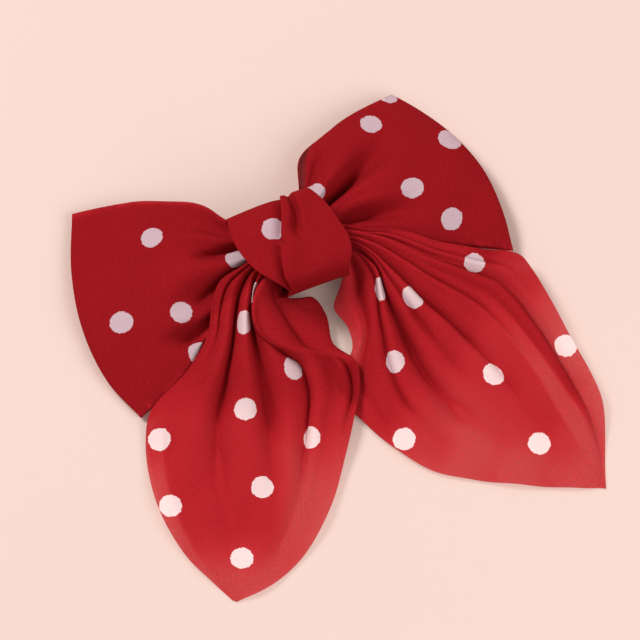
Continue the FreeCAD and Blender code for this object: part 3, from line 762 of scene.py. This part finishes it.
def tail_shape(guides, arch, plan, seed, under):
    """The shape of one tail: a leaf of cloth that fans out from the knot and lies down.

    Its guides are lines along the cloth, each with its place across: the two edges, and any ridge.
    """
    first, last = guides[0][1], guides[-1][1]

    def shape(across, along):
        plan_width = np.linalg.norm(first(along) - last(along), axis=-1)
        dip, slide = pleats(along, across, plan_width, plan)
        points = across_guides(guides, along, np.clip(across + slide, 0, 1))
        crown = 4 * across * (1 - across)
        points[..., 2] += arch * crown * smooth(0, 0.08, along) * (1 - smooth(0.3, 0.75, along))
        points[..., 2] += 0.35 * soften(np.maximum(dip, 0), 12) - dip
        points[..., 2] += ripple(points, 1.3, seed) * smooth(0.15, 0.4, along)
        rest_on(points, under, CLOTH_CLEAR)
        points[..., 2] = np.maximum(points[..., 2], FLOOR_CLEAR)
        return points

    return shape


LEFT_TAIL = dict(
    guides=[
        (0.0, Route(
            (-7, 4, 22), (-20.5, 1, 21.5), (-31, -1, 20), (-38, -9, 16.5), (-42.5, -17, 13),
            (-55, -27, 8.5), (-78.5, -40, 4), (-82.5, -48, 3), (-87, -63.5, 3), (-88.5, -77.5, 3),
            (-85, -102, 2), (-75, -124, 1),
        )),
        (0.43, Route(
            (-6, -1, 22), (-17.5, -5, 22), (-22.5, -13, 22.5), (-27, -24, 21), (-31, -38, 16),
            (-34, -52, 10), (-38, -68, 6), (-43, -85, 4), (-51, -102, 3), (-61, -115, 2), (-74, -124.5, 1),
        )),
        (0.80, Route(
            (-5, -6, 21), (-14.5, -10.5, 21), (-18.5, -16, 21.5), (-20.5, -23.5, 20.5), (-17, -35.5, 17),
            (-8, -41, 14), (0, -46.5, 10), (0, -57, 6), (-8, -70, 4), (-18, -85, 3), (-32, -102, 2),
            (-49, -117, 1.5), (-64, -124, 1), (-74, -125, 1),
        )),
        (1.0, Route(
            (-3, -8, 18), (-9, -13.5, 14), (-3, -16, 9), (3, -17, 7), (5.5, -25, 5),
            (3.5, -38, 5), (9, -50, 8), (7, -58.5, 6), (-0.5, -71, 5), (-10.5, -85.5, 4),
            (-24, -103, 3), (-43.5, -118.5, 2), (-63, -125, 1), (-73.5, -125, 1),
        )),
    ],
    arch=1.0,
    plan=[
        (0.10, 0.06, 5.0, 0.30, 1.8, 0.6),
        (0.27, 0.22, 12.0, 0.85, 3.2, 0.25),
        (0.47, 0.45, 13.0, 0.70, 3.2, 0.1),
        (0.66, 0.60, 11.0, 0.80, 2.6, -0.5),
        (0.88, 0.90, 10.0, 0.50, 3.0, 0.5),
    ],
    seed=1.1,
)
RIGHT_TAIL = dict(
    guides=[
        (0.0, Route(
            (7, 8, 22), (23.5, 3.5, 20.5), (32.5, -1.5, 19), (42.5, -5, 17.5), (60, -17.5, 15),
            (75, -25.5, 12), (84.5, -30, 10), (88, -33, 9), (90, -39, 8.5), (92.5, -57, 8),
            (94, -73, 7), (96, -90, 5), (96, -101.5, 4), (92.5, -115.5, 2.5), (83.5, -135.5, 1),
        )),
        (0.50, Route(
            (7, 2, 25), (24, -4, 23), (31, -12, 22), (37.5, -23, 19), (44, -36, 15), (52, -50, 10),
            (59, -64, 6), (65, -81, 4), (69, -98, 3), (74, -115, 2), (83, -136, 1),
        )),
        (0.84, Route(
            (6.5, -3, 23), (22.5, -8.5, 21), (25.5, -18, 18), (24, -30, 14), (20.5, -42, 10), (16, -55, 6),
            (16, -71, 4), (21, -87, 3), (31, -102, 2), (43, -111, 2), (58, -122, 1), (82.5, -136, 1),
        )),
        (1.0, Route(
            (6, -4, 20), (20, -10.5, 17), (14.5, -18.5, 11), (9, -25, 8), (11.5, -34, 6), (9.5, -44, 4),
            (0, -49, 2), (-3.5, -56, 2), (2, -71.5, 2), (9.5, -87.5, 3), (21.5, -104, 3),
            (35, -113, 2), (53, -123, 2), (82, -136, 1),
        )),
    ],
    arch=1.0,
    plan=[
        (0.27, 0.13, 9.0, 1.00, 2.3, -0.8),
        (0.52, 0.50, 9.0, 0.80, 2.3, -0.5),
        (0.69, 0.67, 11.0, 0.75, 2.4, 0.2),
        (0.12, 0.06, 3.5, 0.50, 1.5, -0.6),
        (0.40, 0.32, 4.5, 0.60, 1.5, -0.5),
        (0.60, 0.59, 3.5, 0.50, 1.4, 0.3),
        (0.79, 0.79, 6.0, 0.60, 1.8, 0.4),
        (0.90, 0.92, 4.5, 0.45, 1.7, 0),
        (0.19, 0.10, 2.5, 0.40, 1.3, -0.5),
    ],
    seed=3.3,
)


class HAIRBOW_OT_tails(bpy.types.Operator):
    """Make the two pleated tails, which lie over the loops"""

    bl_idname = "hairbow.tails"
    bl_label = "Tails"

    def execute(self, context):
        loops = [bpy.data.objects["left_loop"], bpy.data.objects["right_loop"]]
        below = surface_of(*loops)
        right = cloth_grid("right_tail", TAIL_GRID, tail_shape(under=below, **RIGHT_TAIL))
        below = surface_of(*loops, right)
        cloth_grid("left_tail", TAIL_GRID, tail_shape(under=below, **LEFT_TAIL))
        return {"FINISHED"}


# ---------------------------------------------------------------- knot

KNOT_GRID = (75, 155)  # faces across and round the band
KNOT_LEFT = Route((-19.5, 20.5), (-21, 8), (-20, -1), (-16.5, -9.5), (-8, -16.5))
KNOT_RIGHT = Route((16, 21), (20, 12), (22, 3), (23.5, -6.5), (22, -13), (19, -16.5))
KNOT_TOP = 32.0
KNOT_BACK = 11.6  # between the barrette's face and its tension bar
KNOT_REACH = (21.4, 17.0)  # how far the band goes towards +Y and -Y
CROWN_FALL = 1.6  # how much lower the band is at its sides
LAP_WIDTH = 3.4  # how far the band is drawn over itself at the crease
LAP_SOFTNESS = 1.5
LAP_STEP = 3.0  # how much higher the lapped part stands, and how far from the crease it does
LAP_REACH = 9.0
CREASE_DEPTH = 2.2
CREASE_WIDTH = 2.4
OVERLAP = Route((5, 23), (1, 10.5), (-3, 2), (-6, -7), (-7, -14.5), (-6, -18))
TUCK = Route((7.5, 23), (7, 11.5), (4.5, 4.5), (3.5, -2))
TUCK_WIDTH = 1.7
TUCK_DEPTH = 4.6
LIP = 0.07  # share of the band's width that is turned under at each side
LIP_IN = 3.2  # how far that goes back inwards, and how far down
LIP_DOWN = 1.7


def knot_shape(across, along):
    """A band wrapped round the waist: along goes round it from the back seam, across is its width."""
    inner = np.clip((across - LIP) / (1 - 2 * LIP), 0, 1)
    curl = np.clip((np.abs(across - 0.5) - (0.5 - LIP)) / LIP, 0, 1)
    angle = (along - 0.5) * 2 * math.pi
    sway = np.sign(np.sin(angle)) * np.abs(np.sin(angle)) ** 0.6
    rise = np.sign(np.cos(angle)) * np.abs(np.cos(angle)) ** 0.6
    y = sway * np.where(sway > 0, *KNOT_REACH)
    part = np.clip((KNOT_REACH[0] - y) / sum(KNOT_REACH), 0, 1)
    left = KNOT_LEFT(part)[..., 0]
    right = KNOT_RIGHT(part)[..., 0]
    crown = KNOT_TOP - CROWN_FALL * (2 * inner - 1) ** 4
    points = np.zeros((*across.shape, 3))
    points[..., 0] = left + (right - left) * inner
    points[..., 1] = y
    points[..., 2] = (crown + KNOT_BACK) / 2 + rise * (crown - KNOT_BACK) / 2
    front = smooth(-0.2, 0.6, rise)
    near, _, side = from_path(points, OVERLAP)
    u = side * near / LAP_SOFTNESS
    points[..., 0] -= front * LAP_WIDTH * u * np.exp(-(u**2))
    step = LAP_STEP * smooth(-0.6, 0.6, u) * np.exp(-((near / LAP_REACH) ** 2))
    hollow = np.where(side > 0, 0, CREASE_DEPTH * np.exp(-((near / CREASE_WIDTH) ** 2)))
    points[..., 2] += front * (step - hollow + ripple(points * 1.5, 0.6, 0.7))
    points[..., 2] -= front * dent(points, TUCK, TUCK_WIDTH, TUCK_DEPTH, fade=0.3)
    turned = smooth(0, 1, curl)
    points[..., 0] += np.where(across < 0.5, 1, -1) * turned * LIP_IN
    points[..., 1] *= 1 - 0.08 * turned
    points[..., 2] -= np.where(rise > 0, LIP_DOWN, -0.2) * np.abs(rise) * turned
    points[..., 2] -= points[..., 0] ** 2 / PLATE_SWEEP * (1 - front)
    return points


class HAIRBOW_OT_knot(bpy.types.Operator):
    """Make the band that is wrapped and tucked round the gathered waist"""

    bl_idname = "hairbow.knot"
    bl_label = "Knot"

    def execute(self, context):
        cloth_grid("knot_wrap", KNOT_GRID, knot_shape)
        return {"FINISHED"}


# ---------------------------------------------------------------- cloth finish

DOT_SEARCH = 1.5  # how near a point must be to a dot's place to carry it
# where a dot shows, seen from above, and then where one shows on the hidden layer below
DOTS = {
    "left_loop": (
        [(-49.5, 29.5), (-75, 0), (-49, -6), (-21, 7), (-48, -23)],
        [(-25, 20), (-80, -12), (-52, 44)],
    ),
    "right_loop": (
        [(52.5, 42), (81, 24.5), (58.5, 8.5), (68, -9.5), (18.5, 21), (64, 54)],
        [(38.9, 36.3), (68, 23.5), (46, 0)],
    ),
    "left_tail": (
        [(-78, -49), (-83, -79), (-45.5, -85.5), (-21.5, -72), (-65, -107.5), (-40.5, -54),
         (-30.5, -21.5), (-15, -43.5), (-21, -10)],
        [],
    ),
    "right_tail": (
        [(70.5, -30), (28.5, -28), (41, -35.5), (22, -57), (60, -76), (89.5, -75.5), (13.5, -86.5),
         (66, -108.5)],
        [],
    ),
    "knot_wrap": ([(-3.4, 6.5)], []),
}


def flat_places(piece, shown, hidden):
    """The places in metres on the flat cloth of dots that show at places seen from above."""
    points = points_of(piece)
    by_point = flat_points(piece)
    found = []
    for places, up in ((shown, 1), (hidden, -1)):
        for place in places:
            gap = np.linalg.norm(points[:, :2] - place, axis=1)
            close = np.nonzero(gap < max(DOT_SEARCH, gap.min() * 1.05))[0]
            best = close[np.argmax(up * points[close, 2])]
            found.append(tuple(by_point[best]))
    return found


# strips of a tail painted darker as doubled, a painted shade as if the hem were turned back under them,
# where no second layer is made: near and far places across of the strip's two sides, how strongly it
# shows, and how softly it ends
DOUBLED_PAINTED_SHADE = {
    "left_tail": [(0.05, 0.05, 0.60, 0.66, 0.55, 0.24)],
    "right_tail": [(0.27, 0.14, 0.42, 0.22, 0.8, 0.03), (0.42, 0.34, 0.86, 0.72, 0.45, 0.25)],
}
# these paint shade and light into the cloth's colour: the gathered end and the valleys painted darker, the
# free flap painted lighter, and a loop never lighter than LEAST_BACKED
GATHERED = (0.36, 0.68)  # shares of a tail's length where its close pleats start and finish opening
FREE_FLAP_PAINTED_LIGHT = {"right_tail": (0.88, 0.42)}  # where across, and how far along, one layer stands free
VALLEY_SHADE_DEPTH = 0.6  # how far under the cloth beside it a valley lies that counts fully
LEAST_BACKED = 0.5  # of a loop, which has its other layer not far under it
ALL_CLOSE, NONE_CLOSE = 12.0, 32.0  # depths at which cloth below counts fully, and not at all


def mark_backing_and_painted_shade(piece, cloths):
    """Mark how far each point has more cloth close under it, which keeps light from coming through; the
    mark paints shade into the cloth's colour and also raises its cover.

    A tail's doubled strips, gathered end and valleys are marked as if they had it, as painted shade, and
    its free flap as if it hadn't, as painted light.
    """
    across, along = piece["grid"]
    rows = (along + 1, across + 1)
    backed_painted_shade = []
    for spot in points_of(piece):
        start = Vector(spot) - Vector((0, 0, 0.2))
        hit = cloths.ray_cast(start, DOWN)[0]
        backed_painted_shade.append(0.0 if hit is None else 1 - smooth(ALL_CLOSE, NONE_CLOSE, start.z - hit.z))
    backed_painted_shade = soften(np.array(backed_painted_shade).reshape(rows), 3)
    far = np.linspace(0, 1, rows[0])[:, None]
    place = np.linspace(0, 1, rows[1])[None, :]
    if piece.name in DOUBLED_PAINTED_SHADE:
        height = points_of(piece)[:, 2].reshape(rows)
        valley = np.clip((soften(height, 8) - height) / VALLEY_SHADE_DEPTH, -1, 1)
        # painted shade: a tail's gathered end is marked as backed, a little more in its valleys
        backed_painted_shade = np.maximum(backed_painted_shade, (0.85 + 0.15 * valley) * (1 - smooth(*GATHERED, far)))
        for near_first, far_first, near_last, far_last, amount, ease in DOUBLED_PAINTED_SHADE[piece.name]:
            first = near_first + (far_first - near_first) * far
            last = near_last + (far_last - near_last) * far
            inside = smooth(0, 0.015, place - first) * smooth(0, ease, last - place)
            backed_painted_shade = np.maximum(backed_painted_shade, amount * inside * (1 - smooth(0.75, 0.95, far)))
        # painted shade: valleys are marked darker still
        backed_painted_shade = np.clip(backed_painted_shade + 0.35 * np.maximum(valley, 0), 0, 1)
        if piece.name in FREE_FLAP_PAINTED_LIGHT:
            side, reach = FREE_FLAP_PAINTED_LIGHT[piece.name]
            # painted light: the free flap is marked as lit through
            free = smooth(side, side + 0.05, place) * (1 - smooth(reach - 0.08, reach, far))
            backed_painted_shade *= 1 - 0.8 * free
    # painted shade: a loop is never lighter than half backed, and the knot's wrap takes the shaded colour
    # everywhere
    if piece.name.endswith("loop"):
        backed_painted_shade = np.maximum(backed_painted_shade, LEAST_BACKED)
    if piece.name == "knot_wrap":
        backed_painted_shade[:] = 1.0  # the wrap is folded double
    layer = piece.data.attributes.new("backed_painted_shade", "FLOAT", "POINT")
    layer.data.foreach_set("value", backed_painted_shade.astype(np.float32).ravel())


class HAIRBOW_OT_print(bpy.types.Operator):
    """Lay each cloth out flat, print its dots and give it its thickness"""

    bl_idname = "hairbow.print"
    bl_label = "Print and finish the cloth"

    def execute(self, context):
        cloths = surface_of(*(bpy.data.objects[name] for name in DOTS))
        for name, (shown, hidden) in DOTS.items():
            piece = bpy.data.objects[name]
            across, along = piece["grid"]
            start = across // 2
            lay_flat(piece, start, start + (across + 1) * (along // 4))
            centres = flat_places(piece, shown, hidden)
            cover = context.scene.bow_cloth.cover
            if name == "knot_wrap":
                cover = context.scene.bow_cloth.wrap_cover
            piece.data.materials.append(chiffon(f"chiffon_{name}", centres, cover))
            mark_backing_and_painted_shade(piece, cloths)
        for name in DOTS:
            finish_cloth(bpy.data.objects[name])
        loops = [bpy.data.objects[name] for name in ("left_loop", "right_loop")]
        tails = [bpy.data.objects[name] for name in ("left_tail", "right_tail")]
        for piece in loops:
            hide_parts("loop_band")
        for piece in tails:
            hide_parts("tail_strip")
        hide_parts("knot_band")
        return {"FINISHED"}


# ---------------------------------------------------------------- clip and threads


class HAIRBOW_OT_clip(bpy.types.Operator):
    """Give the barrette's steel parts their finish"""

    bl_idname = "hairbow.clip"
    bl_label = "Barrette finish"

    def execute(self, context):
        plated = steel("nickel_plate", (0.70, 0.69, 0.67), 0.30)
        spring = steel("spring_steel", (0.58, 0.58, 0.60), 0.24)
        bright = steel("bright_steel", (0.74, 0.74, 0.74), 0.20, length_wise=False)
        finishes = {
            "top_plate": plated, "lever_arm": plated, "tension_bar": spring, "catch_base": spring,
            "catch_leg_front": spring, "catch_leg_rear": spring, "hinge_pin": bright,
            "catch_rivet": bright,
        }
        for name, material in finishes.items():
            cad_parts[name].data.materials.clear()
            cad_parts[name].data.materials.append(material)
        return {"FINISHED"}


THREAD = 0.5  # thickness of the sewing thread
THREAD_SIDES = 12
TWIST_STEPS = 12  # rings of points in one twist
TWIST_PITCH = 2.0  # length of one twist
PLY_DENT = 0.18  # how deep the groove between the two plies is, as a share of half the thread
THREAD_REDS = ((0.16, 0.004, 0.006), (0.36, 0.012, 0.016))
SEAM_STITCHES = 5
# the upper half of a turn of thread, a box with rounded corners: its places sideways and up
RING = ((1, 0), (1, 0.6), (0.94, 0.94), (0.6, 1), (-0.6, 1), (-0.94, 0.94), (-1, 0.6), (-1, 0))
WAIST_TURNS = (-1, 0, 1)  # places of the turns that gather the waist, from end to end


def clip_box(name):
    """A node's lowest and highest corners, in millimetres in the clip frame."""
    return [np.array(corner - CLIP_MIDDLE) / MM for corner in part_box(name)]


def thread_turn(middle, half_side, half_rise, tilt=0.0):
    """A closed turn of thread that stands across the clip, leaning along X by the tilt."""
    loop = list(RING) + [(side, -rise) for side, rise in reversed(RING[:-1])]
    spots = [
        middle + np.array((rise * half_rise * math.sin(tilt), side * half_side,
                           rise * half_rise * math.cos(tilt)))
        for side, rise in loop
    ]
    return Route(*spots), (math.cos(tilt), 0, -math.sin(tilt)), True


def thread_along(name, lines):
    """Two-ply thread along each line, which comes with the direction square to its bends."""
    work = bmesh.new()
    for line, square, closed in lines:
        length = np.linalg.norm(np.diff(line.points, axis=0), axis=1).sum()
        twists = max(round(length / TWIST_PITCH), 2)
        rows = (twists * TWIST_STEPS + 1, THREAD_SIDES + 1)
        made = bmesh.ops.create_grid(
            work, x_segments=THREAD_SIDES, y_segments=twists * TWIST_STEPS, size=0.5
        )["verts"]
        flat = np.array([point.co[:2] for point in made]) + 0.5
        around = flat[:, 0].reshape(rows) * 2 * math.pi
        along = flat[:, 1].reshape(rows)
        spots = line(along)
        ahead = np.gradient(spots, axis=0)
        out = np.cross(ahead / np.linalg.norm(ahead, axis=-1, keepdims=True), square)
        groove = PLY_DENT * np.cos(2 * (around - along * 2 * math.pi * twists))
        radius = THREAD / 2 * (1 - PLY_DENT + groove)
        if not closed:
            radius *= np.sqrt(1 - np.abs(2 * along - 1) ** 12)
        swing = np.cos(around)[..., None] * out + np.sin(around)[..., None] * np.array(square)
        placed = (spots + radius[..., None] * swing).reshape(-1, 3) * MM + np.array(CLIP_MIDDLE)
        for point, spot in zip(made, placed):
            point.co = spot
    bmesh.ops.remove_doubles(work, verts=work.verts, dist=0.01 * MM)
    bmesh.ops.recalc_face_normals(work, faces=work.faces)
    piece = new_piece(name, work)
    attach(piece, BOW)
    return piece


def waist_turns():
    """The turns of thread that gather the waist, inside the knot."""
    low, high = clip_box("gather_thread")
    half = (high - low - THREAD) / 2
    return [
        thread_turn((low + high) / 2 + (place * half[0], 0, 0), half[1], half[2])
        for place in WAIST_TURNS
    ]


def seam_stitches():
    """The short stitches across the knot's back seam."""
    low, high = clip_box("knot_stitches")
    reach = (high[0] - low[0] - THREAD) / 2
    stitches = []
    for place in np.linspace(-1, 1, SEAM_STITCHES):
        x = place * reach
        z = high[2] - THREAD / 2 - x**2 / PLATE_SWEEP
        line = Route((x, low[1], z), (x, (low[1] + high[1]) / 2, z), (x, high[1], z))
        stitches.append((line, (1, 0, 0), False))
    return stitches


def end_turn(name):
    """The turn of thread through the sewing holes at an end of the barrette's plate."""
    low, high = clip_box(name)
    middle = (low + high) / 2
    tilt = math.asin(2 * middle[0] / PLATE_SWEEP)
    rise = (high[2] - low[2] - THREAD * abs(math.sin(tilt))) / math.cos(tilt)
    return [thread_turn(middle, (high[1] - low[1] - THREAD) / 2, (rise - THREAD) / 2, tilt)]


class HAIRBOW_OT_threads(bpy.types.Operator):
    """Make the sewing threads: the waist's turns, the seam's stitches and the clip's ties"""

    bl_idname = "hairbow.threads"
    bl_label = "Threads"

    def execute(self, context):
        threads = {
            "gather_thread": thread_along("waist_thread", waist_turns()),
            "knot_stitches": thread_along("seam_thread", seam_stitches()),
            "hinge_end_stitches": thread_along("hinge_end_thread", end_turn("hinge_end_stitches")),
            "catch_end_stitches": thread_along("catch_end_thread", end_turn("catch_end_stitches")),
        }
        finish = thread_material(*THREAD_REDS)
        for name, piece in threads.items():
            piece.data.materials.append(finish)
            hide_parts(name)
        return {"FINISHED"}


# ---------------------------------------------------------------- stage

VIEW_MIDDLE = CLIP_MIDDLE + Vector((3.0, -25.1, 0)) * MM
FLOOR_HALF = 2.0
# metres to the right of the view's middle, beyond it and above it, then width and power
LIGHTS = {"key": (-1.3, 0.8, 1.8, 0.75, 42.0), "fill": (0.8, -0.5, 0.9, 1.0, 8.5)}
ROOM_COLOUR = (1.0, 0.97, 0.95, 1)
ROOM_LIGHT = 0.34
LAYERS_SEEN = 24  # see-through layers that a line of sight may pass


def area_light(name, place, width, power):
    """A square light that points at the middle of the view."""
    lamp = bpy.data.lights.new(name, "AREA")
    lamp.shape = "SQUARE"
    lamp.size = width
    lamp.energy = power
    holder = bpy.data.objects.new(name, lamp)
    holder.location = place
    holder.rotation_euler = (VIEW_MIDDLE - place).to_track_quat("-Z", "Y").to_euler()
    bpy.context.scene.collection.objects.link(holder)


class HAIRBOW_OT_stage(bpy.types.Operator):
    """Add the floor, the soft lights and the camera"""

    bl_idname = "hairbow.stage"
    bl_label = "Stage"

    def execute(self, context):
        scene = context.scene
        stage = scene.bow_stage
        work = bmesh.new()
        bmesh.ops.create_grid(work, x_segments=1, y_segments=1, size=FLOOR_HALF)
        floor = new_piece("floor", work)
        material, _, shader = new_material("pale_floor")
        shader.inputs["Base Color"].default_value = (*stage.floor, 1)
        shader.inputs["Roughness"].default_value = 0.9
        shader.inputs["Specular IOR Level"].default_value = 0.1
        floor.data.materials.append(material)
        world = bpy.data.worlds.new("soft_room")
        world.use_nodes = True
        room = world.node_tree.nodes["Background"].inputs
        room["Color"].default_value = ROOM_COLOUR
        room["Strength"].default_value = ROOM_LIGHT
        scene.world = world
        turn, height = stage.camera_turn, stage.camera_height
        ahead = Vector((math.sin(turn), math.cos(turn), 0))
        right = Vector((math.cos(turn), -math.sin(turn), 0))
        look = ahead * math.cos(height) + DOWN * math.sin(height)
        camera = bpy.data.cameras.new("camera")
        camera.angle = 2 * math.atan(stage.view_width / 2 / stage.camera_distance)
        holder = bpy.data.objects.new("camera", camera)
        holder.location = VIEW_MIDDLE - look * stage.camera_distance
        holder.rotation_euler = look.to_track_quat("-Z", "Y").to_euler()
        scene.collection.objects.link(holder)
        scene.camera = holder
        for name, (to_right, beyond, above, width, power) in LIGHTS.items():
            place = VIEW_MIDDLE + right * to_right + ahead * beyond - DOWN * above
            area_light(name, place, width, power)
        scene.view_settings.view_transform = "Standard"
        scene.cycles.transparent_max_bounces = LAYERS_SEEN
        return {"FINISHED"}


class HAIRBOW_PT_panel(bpy.types.Panel):
    """Steps that make the bow, in order"""

    bl_label = "Hair Bow"
    bl_space_type = "VIEW_3D"
    bl_region_type = "UI"
    bl_category = "Hair Bow"

    def draw(self, context):
        layout = self.layout
        for field in (
            "red", "deep_red", "dot_white", "painted_lit_red", "painted_lit_deep_red", "painted_lit_white", "dot_width",
            "thickness", "cover", "wrap_cover", "grain",
        ):
            layout.prop(context.scene.bow_cloth, field)
        for field in ("floor", "camera_distance", "camera_height", "camera_turn", "view_width"):
            layout.prop(context.scene.bow_stage, field)
        for step in STEPS:
            layout.operator(step.bl_idname)


STEPS = (
    HAIRBOW_OT_loops, HAIRBOW_OT_tails, HAIRBOW_OT_knot, HAIRBOW_OT_print, HAIRBOW_OT_clip,
    HAIRBOW_OT_threads, HAIRBOW_OT_stage,
)
CLASSES = (BowClothSettings, BowStageSettings, *STEPS, HAIRBOW_PT_panel)


def register():
    for each in CLASSES:
        bpy.utils.register_class(each)
    bpy.types.Scene.bow_cloth = PointerProperty(type=BowClothSettings)
    bpy.types.Scene.bow_stage = PointerProperty(type=BowStageSettings)


def unregister():
    del bpy.types.Scene.bow_stage
    del bpy.types.Scene.bow_cloth
    for each in reversed(CLASSES):
        bpy.utils.unregister_class(each)


def main():
    register()
    bpy.ops.hairbow.loops()
    bpy.ops.hairbow.tails()
    bpy.ops.hairbow.knot()
    bpy.ops.hairbow.print()
    bpy.ops.hairbow.clip()
    bpy.ops.hairbow.threads()
    bpy.ops.hairbow.stage()


if __name__ == "__main__":
    main()
